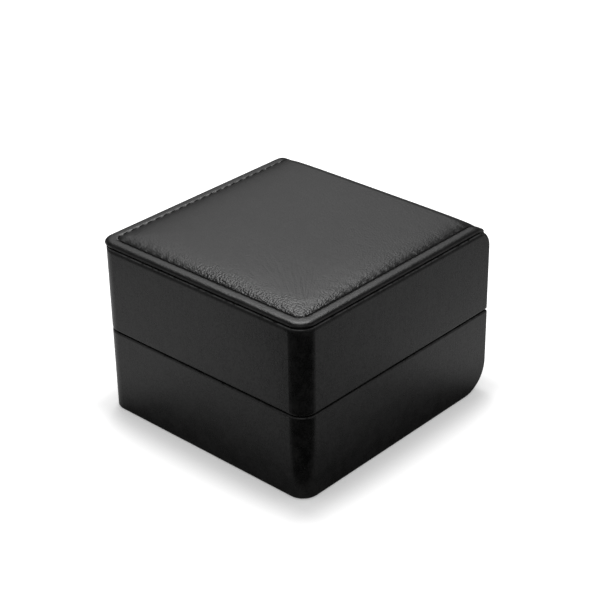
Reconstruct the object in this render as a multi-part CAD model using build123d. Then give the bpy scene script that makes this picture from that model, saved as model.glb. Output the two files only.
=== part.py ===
"""Single-watch gift box: a hinged, leatherette-wrapped case with a padded top panel and a watch pillow.

The frame has +Z up, the front of the box faces -Y and +X is to the right seen from the front. The
origin is at the middle of the underside. All sizes are in millimetres.
"""
import os
from math import radians, sin

from build123d import *

# Outside of the closed box
WIDTH = 100.0
DEPTH = 104.0
BASE_HEIGHT = 34.0
RIM_GAP = 0.4
LID_WALL_HEIGHT = 34.6
FRONT_CORNER_R = 6.6
REAR_BOTTOM_R = 12.0
REAR_TOP_R = 8.0
OUTER_EDGE_R = 1.0
FOOT_EDGE_R = 0.8
RIM_EDGE_R = 0.8

# Walls, from the outside in
SKIN = 0.8
CORE_WALL = 3.2
CORE_FLOOR = 2.4
CORE_ROOF = 2.4
LINING = 1.0
RETURN_WIDTH = 10.0
BOTTOM_SHEET_PROUD = 0.2
SHEET_BACK_MARGIN = 2.0
FIT = 0.3
GLUE_GAP = 0.2

# Padded panel on top of the lid, which runs over the rear curve and down the back
PANEL_BOARD = 1.1
PANEL_SKIN = 0.8
PANEL_OVERHANG = 0.3
PANEL_REAR_R = 9.4
PANEL_EDGE_R = 1.0
PANEL_BORDER = 4.6
PAD_RISE = 1.6
PAD_BACK_RISE = 0.8
PAD_REAR_R = 12.8
PAD_SLOPE_R = 1.4
PAD_CORNER_R = 5.0
FOAM_INSET = 4.0
FOAM_RISE = 1.0
FOAM_EDGE_R = 0.8
TAIL_INSET = 1.8
TAIL_HEM = 4.0
BORDER_END_ANGLE = 45.0

# Lining of the lid
ROOF_BOARD = 1.2
ROOF_PAD = 6.0
ROOF_PAD_EDGE_R = 2.5
ROOF_PAD_CORNER_R = 5.0

# Flocked tray in the base and the pillow that lies in it
TRAY_DECK_HEIGHT = 27.0
TRAY_WALL = 1.2
TRAY_EDGE_R = 1.0
PILLOW_LENGTH = 76.0
PILLOW_WIDTH = 56.0
PILLOW_HEIGHT = 40.0
PILLOW_TOP_R = 16.0
PILLOW_BOTTOM_R = 9.0
PILLOW_CLOTH = 1.2
PILLOW_END_R = 1.0
PILLOW_FIT = 0.5

# Snap hinge let into the back walls
HINGE_INSET = 0.4
LEAF = 0.8
LEAF_WIDTH = 46.0
LEAF_REACH = 14.0
LEAF_CORNER_R = 1.6
EAR_SPREAD = 16.2
EAR_DEPTH = 2.4
EAR_R = 1.3
EAR_SHOULDER = 0.9
EAR_GAP = 0.2
EAR_FOOT = 12.0
EAR_NECK = 4.0
PIVOT_R = 0.6
PIVOT_CLEARANCE = 0.06
PIVOT_HEAD_R = 1.1
PIVOT_HEAD = 0.4
LEAF_EDGE_GAP = 0.3
SPRING_WIDTH = 24.0
SPRING_STRIP = 0.4
SPRING_REACH = 11.0
SPRING_BOW = 1.3
SPRING_LIP = 0.6
SPRING_LIP_WIDTH = 12.0
RIVET_SPACING = 40.0
RIVET_REACH = 7.0
RIVET_R = 0.9
RIVET_HEAD_R = 1.5
POCKET_MARGIN = 0.8

# Levels and places that follow
WALL = SKIN + CORE_WALL
WRAP_BOTTOM = BOTTOM_SHEET_PROUD
CORE_BOTTOM = WRAP_BOTTOM + SKIN
FLOOR_TOP = CORE_BOTTOM + CORE_FLOOR
LINED_FLOOR_TOP = FLOOR_TOP + LINING
LID_RIM = BASE_HEIGHT + RIM_GAP
LID_TOP = LID_RIM + LID_WALL_HEIGHT
CORE_TOP = LID_TOP - SKIN
CEILING = CORE_TOP - CORE_ROOF
ROOF_PAD_TOP = CEILING - ROOF_BOARD
ROOF_PAD_BOTTOM = ROOF_PAD_TOP - ROOF_PAD
BOARD_TOP = LID_TOP + PANEL_BOARD
PANEL_TOP = BOARD_TOP + PANEL_SKIN
PAD_TOP = PANEL_TOP + PAD_RISE
BACK = DEPTH / 2
FRONT = -DEPTH / 2
FLAT_TOP_END = BACK - REAR_TOP_R
FLAT_BOTTOM_END = BACK - REAR_BOTTOM_R
HINGE_Y = BACK - HINGE_INSET
HINGE_Z = BASE_HEIGHT + RIM_GAP / 2
LEAF_OUTER_Y = BACK - SKIN
LEAF_INNER_Y = LEAF_OUTER_Y - LEAF
PILLOW_SEAT = LINED_FLOOR_TOP + TRAY_WALL
PILLOW_BOTTOM = PILLOW_SEAT + FIT
POCKET_HALF = EAR_SPREAD + POCKET_MARGIN
TINY = 0.01
CLEAR = 1.0


def plan_prism(inset, z_low, z_high, back=None):
    """Upright prism of the box's plan at an inset: two rounded front corners and two square rear ones."""
    half = WIDTH / 2 - inset
    rear = BACK - inset if back is None else back
    corner = max(FRONT_CORNER_R - inset, RIM_EDGE_R)
    corners = [(-half, FRONT + inset), (half, FRONT + inset), (half, rear), (-half, rear)]
    outline = FilletPolyline(*corners, radius=[corner, corner, 0, 0], close=True)
    return Pos(0, 0, z_low) * extrude(make_face(outline), z_high - z_low)


def side_prism(points, radii, half_width):
    """Prism across the box from a closed side outline of (y, z) points and their corner radii."""
    outline = FilletPolyline(*points, radius=radii, close=True)
    return extrude(Plane.YZ * make_face(outline), half_width, both=True)


def case_block(inset, z_low, z_high, bottom_r=0.0, top_r=0.0):
    """Block of the case at an inset from its outside, with its two long rear edges rounded."""
    ahead = FRONT - CLEAR
    rear = BACK - inset
    points = [(ahead, z_low), (rear, z_low), (rear, z_high), (ahead, z_high)]
    side = side_prism(points, [0, bottom_r, top_r, 0], WIDTH / 2 + CLEAR)
    return plan_prism(inset, z_low, z_high) & side


def box_between(low, high):
    """Axis-aligned box from its lowest corner to its highest."""
    size = [b - a for a, b in zip(low, high)]
    centre = [(a + b) / 2 for a, b in zip(low, high)]
    return Pos(*centre) * Box(*size)


def near(a, b):
    return abs(a - b) < TINY


def border(faces):
    """Edges round a patch of faces, without the seams inside the patch."""
    edges = [edge for face in faces for edge in face.edges()]
    return [edge for edge in edges if edges.count(edge) == 1]


def face_and_back(solid, side):
    """The top (side 1) or bottom (side -1) of a solid, with the rear curve and the back that follow on."""
    return [f for f in solid.faces() if f.normal_at().Z * side > 0.5 or f.normal_at().Y > 0.5]


def rounded_case(block, side, rim_z, edge_r):
    """Round a case half round its closed face and up its back, then round its rim."""
    outline = [e for e in border(face_and_back(block, side)) if not near(e.center().Z, rim_z)]
    block = fillet(outline, edge_r)
    return fillet([e for e in block.edges() if near(e.center().Z, rim_z)], RIM_EDGE_R)


def hinge_span(side, reach):
    """Lowest and highest level of what reaches from the hinge axis into the lid (1) or the base (-1)."""
    return sorted((HINGE_Z, HINGE_Z + side * reach))


def hinge_pocket(side):
    """Room for the hinge in one back wall: a window for ears and spring, and a rebate for the leaf."""
    low, high = hinge_span(side, EAR_FOOT + POCKET_MARGIN)
    window = box_between((-POCKET_HALF, BACK - WALL - TINY, low), (POCKET_HALF, BACK, high))
    low, high = hinge_span(side, LEAF_REACH + GLUE_GAP)
    half = LEAF_WIDTH / 2 + GLUE_GAP
    return window + box_between((-half, LEAF_INNER_Y, low), (half, BACK, high))


def rim_notch(side):
    """Slot in the leatherette at the back of one rim, where the hinge ears stand out."""
    low, high = hinge_span(side, EAR_R + 2 * LEAF_EDGE_GAP)
    return box_between((-POCKET_HALF, BACK - WALL - CLEAR, low), (POCKET_HALF, BACK + CLEAR, high))


def rivet(x, z):
    """Countersunk rivet along Y, flush with the leaf outside and with the core inside."""
    shank_end = BACK - WALL
    head_start = LEAF_OUTER_Y - (RIVET_HEAD_R - RIVET_R)
    shank = [(0, shank_end), (RIVET_R, shank_end), (RIVET_R, head_start)]
    points = shank + [(RIVET_HEAD_R, LEAF_OUTER_Y), (0, LEAF_OUTER_Y)]
    return Pos(x, 0, z) * revolve(make_face(Polyline(*points, close=True)), Axis.Y)


def rivets(side):
    z = HINGE_Z + side * RIVET_REACH
    return [rivet(x, z) for x in (-RIVET_SPACING / 2, RIVET_SPACING / 2)]


def base_cavity(inset, floor, bottom_r):
    return case_block(inset, floor, BASE_HEIGHT + CLEAR, bottom_r=bottom_r)


def lid_cavity(inset, ceiling, top_r):
    return case_block(inset, LID_RIM - CLEAR, ceiling, top_r=top_r)


def rivets_base():
    return rivets(-1)


def rivets_lid():
    return rivets(1)


def base_frame():
    """Moulded core of the base, with the hinge let into its back wall."""
    core = case_block(SKIN, CORE_BOTTOM, BASE_HEIGHT - SKIN, bottom_r=REAR_BOTTOM_R - SKIN)
    core -= base_cavity(WALL, FLOOR_TOP, REAR_BOTTOM_R - WALL)
    core -= hinge_pocket(-1)
    return core - rivets(-1)


def base_side_wrap():
    """Leatherette round the base, over its rim and turned in underneath."""
    block = case_block(0, WRAP_BOTTOM, BASE_HEIGHT, bottom_r=REAR_BOTTOM_R)
    block = rounded_case(block, -1, BASE_HEIGHT, FOOT_EDGE_R)
    block -= case_block(SKIN, CORE_BOTTOM, BASE_HEIGHT - SKIN, bottom_r=REAR_BOTTOM_R - SKIN)
    block -= plan_prism(WALL, BASE_HEIGHT - SKIN - CLEAR, BASE_HEIGHT + CLEAR)
    block -= plan_prism(RETURN_WIDTH, -CLEAR, CORE_BOTTOM + TINY, back=sheet_back())
    return block - rim_notch(-1)


def sheet_back():
    """Where the underside is still flat, just before the rear curve begins."""
    return FLAT_BOTTOM_END - SHEET_BACK_MARGIN


def base_bottom_sheet():
    """Flocked sheet that closes the underside and takes the weight of the box."""
    return plan_prism(RETURN_WIDTH + GLUE_GAP, 0, CORE_BOTTOM, back=sheet_back() - GLUE_GAP)


def base_lining_walls():
    """Velvet-covered card round the inside of the base, curved to the core at the rear."""
    ring = base_cavity(WALL, FLOOR_TOP, REAR_BOTTOM_R - WALL)
    ring &= plan_prism(0, 0, BASE_HEIGHT - RIM_GAP)
    ring -= base_cavity(WALL + LINING, LINED_FLOOR_TOP, REAR_BOTTOM_R - WALL - LINING)
    return ring - plan_prism(WALL + LINING, FLOOR_TOP - CLEAR, LINED_FLOOR_TOP + TINY, back=FLAT_BOTTOM_END)


def base_lining_floor():
    """Velvet-covered card on the floor of the base."""
    return plan_prism(WALL + LINING + GLUE_GAP, FLOOR_TOP, LINED_FLOOR_TOP, back=FLAT_BOTTOM_END - GLUE_GAP)


def pillow_tray():
    """Flocked tray formed from sheet: a deck with skirts, sunk in the middle to take the pillow."""
    inset = WALL + LINING + FIT
    tray = case_block(inset, LINED_FLOOR_TOP, TRAY_DECK_HEIGHT, bottom_r=REAR_BOTTOM_R - inset)
    rim = [e for e in tray.edges() if near(e.center().Z, TRAY_DECK_HEIGHT)]
    tray = fillet(rim, TRAY_EDGE_R)
    under = inset + TRAY_WALL
    below = LINED_FLOOR_TOP - CLEAR
    tray -= case_block(under, below, TRAY_DECK_HEIGHT - TRAY_WALL, bottom_r=REAR_BOTTOM_R - under)
    half_x = PILLOW_LENGTH / 2 + PILLOW_FIT
    half_y = PILLOW_WIDTH / 2 + PILLOW_FIT
    outer_x, outer_y = half_x + TRAY_WALL, half_y + TRAY_WALL
    tray += box_between((-outer_x, -outer_y, LINED_FLOOR_TOP), (outer_x, outer_y, TRAY_DECK_HEIGHT))
    tray -= box_between((-half_x, -half_y, PILLOW_SEAT), (half_x, half_y, TRAY_DECK_HEIGHT + CLEAR))

    def lip(edge):
        c = edge.center()
        return near(c.Z, TRAY_DECK_HEIGHT) and abs(c.X) < half_x + TINY and abs(c.Y) < half_y + TINY

    return fillet([e for e in tray.edges() if lip(e)], TRAY_EDGE_R)


def pillow_section(inset, half_length):
    """Length of the pillow's rounded section, at an inset from its outside."""
    half = PILLOW_WIDTH / 2 - inset
    low, high = PILLOW_BOTTOM + inset, PILLOW_BOTTOM + PILLOW_HEIGHT - inset
    radii = [PILLOW_BOTTOM_R - inset] * 2 + [PILLOW_TOP_R - inset] * 2
    return side_prism([(-half, low), (half, low), (half, high), (-half, high)], radii, half_length)


def pillow_core():
    """Foam block of the pillow."""
    return pillow_section(PILLOW_CLOTH, PILLOW_LENGTH / 2 - PILLOW_CLOTH)


def pillow_sleeve():
    """Velvet sleeve sewn round the foam."""
    return pillow_section(0, PILLOW_LENGTH / 2 - PILLOW_CLOTH) - pillow_core()


def pillow_ends():
    """The two velvet end panels sewn to the sleeve."""
    half = PILLOW_LENGTH / 2
    whole = pillow_section(0, half)
    whole = fillet([e for e in whole.edges() if near(abs(e.center().X), half)], PILLOW_END_R)
    return whole - pillow_section(-CLEAR, half - PILLOW_CLOTH)


def lid_frame():
    """Moulded core of the lid, with the hinge let into its back wall."""
    core = case_block(SKIN, LID_RIM + SKIN, CORE_TOP, top_r=REAR_TOP_R - SKIN)
    core -= lid_cavity(WALL, CEILING, REAR_TOP_R - WALL)
    core -= hinge_pocket(1)
    return core - rivets(1)


def tail_window(inset):
    """Where the panel lies in the back of the lid instead of the side leatherette."""
    end, over, behind = LID_RIM + TAIL_HEM, LID_TOP + CLEAR, BACK + CLEAR
    inner = [(FLAT_TOP_END, over), (FLAT_TOP_END, CORE_TOP - REAR_TOP_R), (BACK - 2 * REAR_TOP_R, end)]
    return side_prism([(behind, end), (behind, over)] + inner, [0] * 5, WIDTH / 2 - inset)


def lid_side_wrap():
    """Leatherette round the lid, over its rim and turned in under the panel."""
    block = case_block(0, LID_RIM, LID_TOP, top_r=REAR_TOP_R)
    block = rounded_case(block, 1, LID_RIM, OUTER_EDGE_R)
    block -= case_block(SKIN, LID_RIM + SKIN, CORE_TOP, top_r=REAR_TOP_R - SKIN)
    block -= plan_prism(WALL, LID_RIM - CLEAR, LID_RIM + SKIN + CLEAR)
    block -= plan_prism(RETURN_WIDTH, CORE_TOP - TINY, LID_TOP + CLEAR, back=FLAT_TOP_END + TINY)
    block -= tail_window(TAIL_INSET)
    return block - rim_notch(1)


def lid_panel_board():
    """Card under the padded panel, laid across the turned-in leatherette."""
    return plan_prism(PANEL_SKIN - PANEL_OVERHANG, LID_TOP, BOARD_TOP, back=FLAT_TOP_END - GLUE_GAP)


def panel_pad():
    """Raised field of the panel inside its stitched border: over the top, the rear curve and the back."""
    half = WIDTH / 2 - PANEL_BORDER
    front = FRONT + PANEL_BORDER
    rear = BACK + PAD_BACK_RISE
    end = LID_RIM + TAIL_HEM + PANEL_BORDER
    points = [(front, end), (rear, end), (rear, PAD_TOP), (front, PAD_TOP)]
    pad = side_prism(points, [0, 0, PAD_REAR_R, 0], half)

    def corner(edge):
        c = edge.center()
        return near(abs(c.X), half) and (near(c.Y, front) or near(c.Z, end))

    pad = fillet([e for e in pad.edges() if corner(e)], PAD_CORNER_R)
    return fillet(border(face_and_back(pad, 1)), PAD_SLOPE_R)


def panel_slab():
    """The panel's outline from its overhanging front edge over the rear curve to the end of its tail."""
    end = LID_RIM + TAIL_HEM + GLUE_GAP
    ahead = FRONT - CLEAR
    points = [(ahead, end), (BACK, end), (BACK, PANEL_TOP), (ahead, PANEL_TOP)]
    side = side_prism(points, [0, 0, PANEL_REAR_R, 0], WIDTH / 2 + CLEAR)
    slab = plan_prism(-PANEL_OVERHANG, end, PANEL_TOP, back=BACK) & side
    return fillet([e for e in border(face_and_back(slab, 1)) if not near(e.center().Z, end)], PANEL_EDGE_R)


def foam_block():
    """Foam sheet between the card and the skin, set in from the stitches."""
    half = WIDTH / 2 - PANEL_BORDER - FOAM_INSET
    front = FRONT + PANEL_BORDER + FOAM_INSET
    length = FLAT_TOP_END - front
    sheet = extrude(RectangleRounded(2 * half, length, PAD_CORNER_R), FOAM_RISE)
    foam = Pos(0, front + length / 2, BOARD_TOP) * sheet
    return fillet(foam.faces().sort_by(Axis.Z)[-1].edges(), FOAM_EDGE_R)


def lid_panel_cover():
    """Padded leatherette of the panel, laid over the board and let into the back of the lid."""
    cover = panel_slab() + panel_pad()
    ahead = FRONT - CLEAR
    wall = [(ahead, LID_RIM), (BACK, LID_RIM), (BACK, LID_TOP), (ahead, LID_TOP)]
    cover -= side_prism(wall, [0, 0, REAR_TOP_R, 0], WIDTH / 2 + CLEAR) - tail_window(TAIL_INSET + GLUE_GAP)
    cover -= case_block(SKIN, LID_RIM, CORE_TOP, top_r=REAR_TOP_R - SKIN)
    cover -= lid_panel_board()
    cover -= foam_block()
    half = WIDTH / 2 - TAIL_INSET - GLUE_GAP
    border_end = LID_TOP - REAR_TOP_R + REAR_TOP_R * sin(radians(BORDER_END_ANGLE))
    for side in (-1, 1):
        low, high = sorted((side * half, side * (WIDTH / 2 + CLEAR)))
        cover -= box_between((low, FLAT_TOP_END, LID_RIM), (high, BACK + CLEAR, border_end))
    return cover


def lid_lining_walls():
    """Velvet-covered card round the inside of the lid, curved to the core at the rear."""
    ring = lid_cavity(WALL, CEILING, REAR_TOP_R - WALL) & plan_prism(0, LID_RIM + RIM_GAP, LID_TOP)
    ring -= lid_cavity(WALL + LINING, CEILING - LINING, REAR_TOP_R - WALL - LINING)
    return ring - plan_prism(WALL + LINING, CEILING - LINING - TINY, CEILING + CLEAR, back=FLAT_TOP_END)


def lid_lining_board():
    """Card that carries the pad under the roof of the lid."""
    return plan_prism(WALL + LINING + GLUE_GAP, ROOF_PAD_TOP, CEILING, back=FLAT_TOP_END - GLUE_GAP)


def lid_lining_pad():
    """Soft pad under the lid, over the watch, with its edges rounded and its rear set under the curve."""
    inset = WALL + LINING + FIT
    size = (WIDTH - 2 * inset, DEPTH - 2 * inset)
    pad = Pos(0, 0, ROOF_PAD_BOTTOM) * extrude(RectangleRounded(*size, ROOF_PAD_CORNER_R), ROOF_PAD)
    pad = fillet(pad.faces().sort_by(Axis.Z)[0].edges(), ROOF_PAD_EDGE_R)
    low, rear = ROOF_PAD_BOTTOM - CLEAR, BACK - inset
    points = [(FRONT, low), (rear, low), (rear, ROOF_PAD_TOP), (FRONT, ROOF_PAD_TOP)]
    return pad & side_prism(points, [0, 0, REAR_TOP_R - inset, 0], WIDTH / 2)


def ear(x_low, side):
    """Hinge ear standing in from the leaf, with a swan neck out to the pivot."""
    inner = LEAF_OUTER_Y - EAR_DEPTH
    neck = [(inner, EAR_FOOT), (inner, EAR_NECK), (HINGE_Y - EAR_R, 0), (HINGE_Y, 0)]
    points = neck + [(LEAF_OUTER_Y, EAR_SHOULDER), (LEAF_OUTER_Y, EAR_FOOT)]
    outline = Polyline(*[(y, HINGE_Z + side * z) for y, z in points], close=True)
    profile = make_face(outline) + Pos(HINGE_Y, HINGE_Z) * Circle(EAR_R)
    return Pos(x_low, 0, 0) * extrude(Plane.YZ * profile, LEAF)


def hinge_leaf(side, ear_outside, hole_r):
    """Stamped leaf with two ears, two countersunk rivet holes and a lip that holds the spring."""
    half = LEAF_WIDTH / 2
    near_z, far_z = HINGE_Z + side * (EAR_R + LEAF_EDGE_GAP), HINGE_Z + side * LEAF_REACH
    low, high = sorted((near_z, far_z))
    leaf = box_between((-half, LEAF_INNER_Y, low), (half, LEAF_OUTER_Y, high))
    across = leaf.edges().filter_by(Axis.Y)
    leaf = fillet([e for e in across if near(e.center().Z, far_z)], LEAF_CORNER_R)
    for x_low in (ear_outside - LEAF, -ear_outside):
        leaf += ear(x_low, side)
    stop = SPRING_REACH + GLUE_GAP
    low, high = sorted((HINGE_Z + side * stop, HINGE_Z + side * (stop + SPRING_LIP)))
    lip = SPRING_LIP_WIDTH / 2
    leaf += box_between((-lip, LEAF_INNER_Y - LEAF, low), (lip, LEAF_INNER_Y, high))
    bore = Pos(0, HINGE_Y, HINGE_Z) * Rot(0, 90, 0) * Cylinder(hole_r, 2 * ear_outside + CLEAR)
    return leaf - bore - rivets(side)


def hinge_leaf_base():
    return hinge_leaf(-1, EAR_SPREAD, PIVOT_R)


def hinge_leaf_lid():
    return hinge_leaf(1, EAR_SPREAD - LEAF - EAR_GAP, PIVOT_R + PIVOT_CLEARANCE)


def hinge_pivots():
    """Two short headed pins, one through each pair of ears."""
    inner = EAR_SPREAD - 2 * LEAF - EAR_GAP
    shank_start = inner - EAR_GAP / 2 - PIVOT_HEAD
    outer = EAR_SPREAD + PIVOT_HEAD
    shank = Pos(0, 0, (shank_start + outer) / 2) * Cylinder(PIVOT_R, outer - shank_start)
    head = Pos(0, 0, PIVOT_HEAD / 2) * Cylinder(PIVOT_HEAD_R, PIVOT_HEAD)
    heads = [Pos(0, 0, z) * head for z in (shank_start, EAR_SPREAD)]
    pin = Pos(0, HINGE_Y, HINGE_Z) * Rot(0, 90, 0) * (shank + heads)
    return [pin, mirror(pin, Plane.YZ)]


def hinge_spring():
    """Bowed steel strip that presses both leaves past the middle and snaps the lid open or shut."""
    low, high = HINGE_Z - SPRING_REACH, HINGE_Z + SPRING_REACH
    inner_y = LEAF_INNER_Y - SPRING_STRIP / 2 - GLUE_GAP
    outer_y = inner_y + SPRING_STRIP
    inner = ThreePointArc((inner_y, low), (inner_y - SPRING_BOW, HINGE_Z), (inner_y, high))
    outer = ThreePointArc((outer_y, high), (outer_y - SPRING_BOW, HINGE_Z), (outer_y, low))
    caps = [Line(inner @ 1, outer @ 0), Line(outer @ 1, inner @ 0)]
    return extrude(Plane.YZ * make_face([inner, outer] + caps), SPRING_WIDTH / 2, both=True)


PARTS = {
    "base_frame": base_frame,
    "base_side_wrap": base_side_wrap,
    "base_bottom_sheet": base_bottom_sheet,
    "base_lining_walls": base_lining_walls,
    "base_lining_floor": base_lining_floor,
    "pillow_tray": pillow_tray,
    "hinge_leaf_base": hinge_leaf_base,
    "hinge_pivots": hinge_pivots,
    "hinge_spring": hinge_spring,
    "hinge_rivets_base": rivets_base,
    "lid_frame": lid_frame,
    "lid_side_wrap": lid_side_wrap,
    "lid_panel_board": lid_panel_board,
    "lid_panel_foam": foam_block,
    "lid_panel_cover": lid_panel_cover,
    "lid_lining_walls": lid_lining_walls,
    "lid_lining_board": lid_lining_board,
    "lid_lining_pad": lid_lining_pad,
    "hinge_leaf_lid": hinge_leaf_lid,
    "hinge_rivets_lid": rivets_lid,
    "pillow_core": pillow_core,
    "pillow_sleeve": pillow_sleeve,
    "pillow_ends": pillow_ends,
}


def as_shape(result):
    """One shape to export from a solid or from a list of separate solids."""
    if not isinstance(result, list):
        return result
    return Compound(children=[solid for piece in result for solid in piece.solids()])


os.makedirs("parts", exist_ok=True)
for name, make in PARTS.items():
    shape = as_shape(make())
    export_step(shape, f"parts/{name}.step")
    print(name, len(shape.solids()), round(shape.volume, 1))
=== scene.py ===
# %% [markdown]
# # A single-watch gift box
# The box is two shells of moulded plastic wrapped in black leatherette. A padded, stitched panel
# lies on the lid and runs over its rounded rear. The imported CAD model comes in first as a fixed
# frame. Every piece below is fitted to it, and each one but the hinge spring rides on the lid or
# the pillow.

# %% Load the frame
from math import cos, pi, radians, sin

import bpy
import numpy as np
from mathutils import Matrix, Vector


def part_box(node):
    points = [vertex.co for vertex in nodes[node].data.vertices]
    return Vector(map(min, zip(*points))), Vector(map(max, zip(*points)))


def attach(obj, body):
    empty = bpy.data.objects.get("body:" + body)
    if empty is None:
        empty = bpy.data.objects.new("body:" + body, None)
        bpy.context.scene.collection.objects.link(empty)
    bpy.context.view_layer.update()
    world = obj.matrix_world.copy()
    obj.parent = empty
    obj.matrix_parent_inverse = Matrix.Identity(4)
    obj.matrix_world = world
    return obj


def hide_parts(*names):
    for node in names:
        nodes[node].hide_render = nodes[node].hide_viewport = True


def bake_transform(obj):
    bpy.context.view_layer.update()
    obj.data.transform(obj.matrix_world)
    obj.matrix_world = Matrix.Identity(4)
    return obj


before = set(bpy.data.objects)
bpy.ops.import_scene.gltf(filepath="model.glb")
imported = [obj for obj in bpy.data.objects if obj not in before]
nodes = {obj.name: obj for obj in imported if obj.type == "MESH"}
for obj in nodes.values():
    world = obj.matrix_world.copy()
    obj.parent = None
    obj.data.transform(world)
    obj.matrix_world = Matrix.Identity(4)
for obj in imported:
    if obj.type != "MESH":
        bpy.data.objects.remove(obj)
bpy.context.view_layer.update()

MM = 0.001

# %% [markdown]
# Operators act on whatever is selected, and the import leaves every node selected. So a small
# helper clears the selection, and another picks one object and makes it active, which is what a
# click in the viewport does.

# %% Selection helpers
def deselect():
    bpy.ops.object.select_all(action="DESELECT")


def pick(piece):
    deselect()
    piece.select_set(True)
    bpy.context.view_layer.objects.active = piece
    return piece


def named(name):
    """Names the object that an operator has just added, and its mesh."""
    piece = bpy.context.object
    piece.name = piece.data.name = name
    return piece


deselect()

# %% [markdown]
# The photograph looks down on the near vertical corner of the box, from about 29 degrees above
# the table, through a longish lens. The numbers came from fitting the corners of the box to the
# picture. The camera is aimed by hand with three axes, because the picture also leans by a degree.

# %% Camera
LENS, SENSOR = 99.70, 36.0
AZIMUTH, ELEVATION, ROLL = radians(42.79), radians(28.80), radians(-0.989)
TARGET, DISTANCE = Vector((-7.63, 9.65, 35.0)) * MM, 636.1 * MM

back = Vector((sin(AZIMUTH) * cos(ELEVATION), -cos(AZIMUTH) * cos(ELEVATION), sin(ELEVATION)))
level = Vector((cos(AZIMUTH), sin(AZIMUTH), 0))
upright = back.cross(level)
right = level * cos(ROLL) + upright * sin(ROLL)
top = upright * cos(ROLL) - level * sin(ROLL)
eye = TARGET + back * DISTANCE

bpy.ops.object.camera_add(location=eye)
camera = bpy.context.object
camera.rotation_euler = Matrix((right, top, back)).transposed().to_euler()
camera.data.lens, camera.data.sensor_width = LENS, SENSOR
camera.data.clip_start = 0.01
bpy.context.scene.camera = camera
bpy.context.scene.view_settings.view_transform = "Standard"
print("camera at", [round(c / MM) for c in eye], "mm")

# %% [markdown]
# A finish is a small network of shader nodes. Writing it as sums keeps it readable, so a class
# wraps a socket and turns +, -, * and / into Math nodes. One method adds any other node: its type,
# its settings, which some sockets depend on, and then the values or links of its inputs.

# %% Shader maths
class Value:
    """An output socket that can be used in sums."""

    def __init__(self, finish, socket):
        self.finish, self.socket = finish, socket

    def maths(self, operation, *terms):
        return self.finish.node("ShaderNodeMath", {"operation": operation}, dict(enumerate(terms)))

    def __add__(self, other): return self.maths("ADD", self, other)
    def __radd__(self, other): return self.maths("ADD", other, self)
    def __sub__(self, other): return self.maths("SUBTRACT", self, other)
    def __rsub__(self, other): return self.maths("SUBTRACT", other, self)
    def __mul__(self, other): return self.maths("MULTIPLY", self, other)
    def __rmul__(self, other): return self.maths("MULTIPLY", other, self)
    def __truediv__(self, other): return self.maths("DIVIDE", self, other)
    def __pow__(self, other): return self.maths("POWER", self, other)

    def __abs__(self): return self.maths("ABSOLUTE", self)
    def most(self, other): return self.maths("MAXIMUM", self, other)
    def least(self, other): return self.maths("MINIMUM", self, other)

    def step(self, low, high):
        """0 below low, 1 above high, and smooth between them."""
        settings = {"interpolation_type": "SMOOTHSTEP"}
        return self.finish.node("ShaderNodeMapRange", settings, {0: self, 1: low, 2: high, 3: 0.0, 4: 1.0})

    def between(self, low, high):
        """Spreads 0..1 over low..high."""
        return self * (high - low) + low


class Finish:
    """A material, or the world's shader, and the nodes that it is made of."""

    def __init__(self, name, owner=None, **constants):
        self.owner = owner or bpy.data.materials.new(name)
        self.owner.use_nodes = True
        self.tree = self.owner.node_tree
        self.shader = self.tree.nodes.get("Principled BSDF")
        for socket, value in constants.items():
            self.shader.inputs[socket.replace("_", " ")].default_value = value

    def node(self, kind, settings=None, sockets=None, out=0):
        made = self.tree.nodes.new(kind)
        for name, value in (settings or {}).items():
            setattr(made, name, value)
        for name, value in (sockets or {}).items():
            self.feed(made.inputs[name], value)
        return Value(self, made.outputs[out])

    def feed(self, socket, value):
        if isinstance(value, Value):
            self.tree.links.new(value.socket, socket)
        else:
            socket.default_value = value

    def set(self, **inputs):
        """Feeds the shader's own sockets."""
        for name, value in inputs.items():
            self.feed(self.shader.inputs[name.replace("_", " ")], value)
        return self

    def place(self):
        """Object coordinates, in metres, which stay on the piece as it moves."""
        return self.node("ShaderNodeTexCoord", out="Object")

    def xyz(self):
        """The three parts of the place, in metres."""
        made = self.tree.nodes.new("ShaderNodeSeparateXYZ")
        self.feed(made.inputs[0], self.place())
        return [Value(self, part) for part in made.outputs]

    def noise(self, size, detail=3.0, roughness=0.5, out=0):
        """Soft noise whose patches are about size millimetres across, from 0 to 1."""
        look = {"Scale": 1 / (size * MM), "Detail": detail, "Roughness": roughness}
        return self.node("ShaderNodeTexNoise", None, {"Vector": self.place(), **look}, out)

    def drawn_noise(self, place, detail):
        """Noise on a place that is already scaled, longer in the directions that are scaled less."""
        return self.node("ShaderNodeTexNoise", None, {"Vector": place, "Scale": 1.0, "Detail": detail})

    def streaks(self, scales, detail):
        """Noise drawn out along one direction. The scales are how many patches go into a metre."""
        drawn = self.node("ShaderNodeMapping", None, {"Vector": self.place(), "Scale": scales})
        return self.drawn_noise(drawn, detail)

    def blend(self, share, dark, pale):
        """A colour between two, or a mix of two colour sockets."""
        return self.node("ShaderNodeMix", {"data_type": "RGBA"}, {0: share, 6: dark, 7: pale}, out=2)

    def bump(self, height, depth=1.0):
        """Raises the surface by height times depth millimetres."""
        return self.node("ShaderNodeBump", None, {"Height": height, "Distance": depth * MM})


def grey(level, warmth=0.0):
    """A grey, with a little more red and less blue where warmth is above 0."""
    return (level * (1 + warmth), level, level * (1 - warmth), 1.0)


def put_on(finish, *pieces):
    """Gives pieces a finish as their only material."""
    for piece in pieces:
        piece.data.materials.clear()
        piece.data.materials.append(finish.owner)
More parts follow.
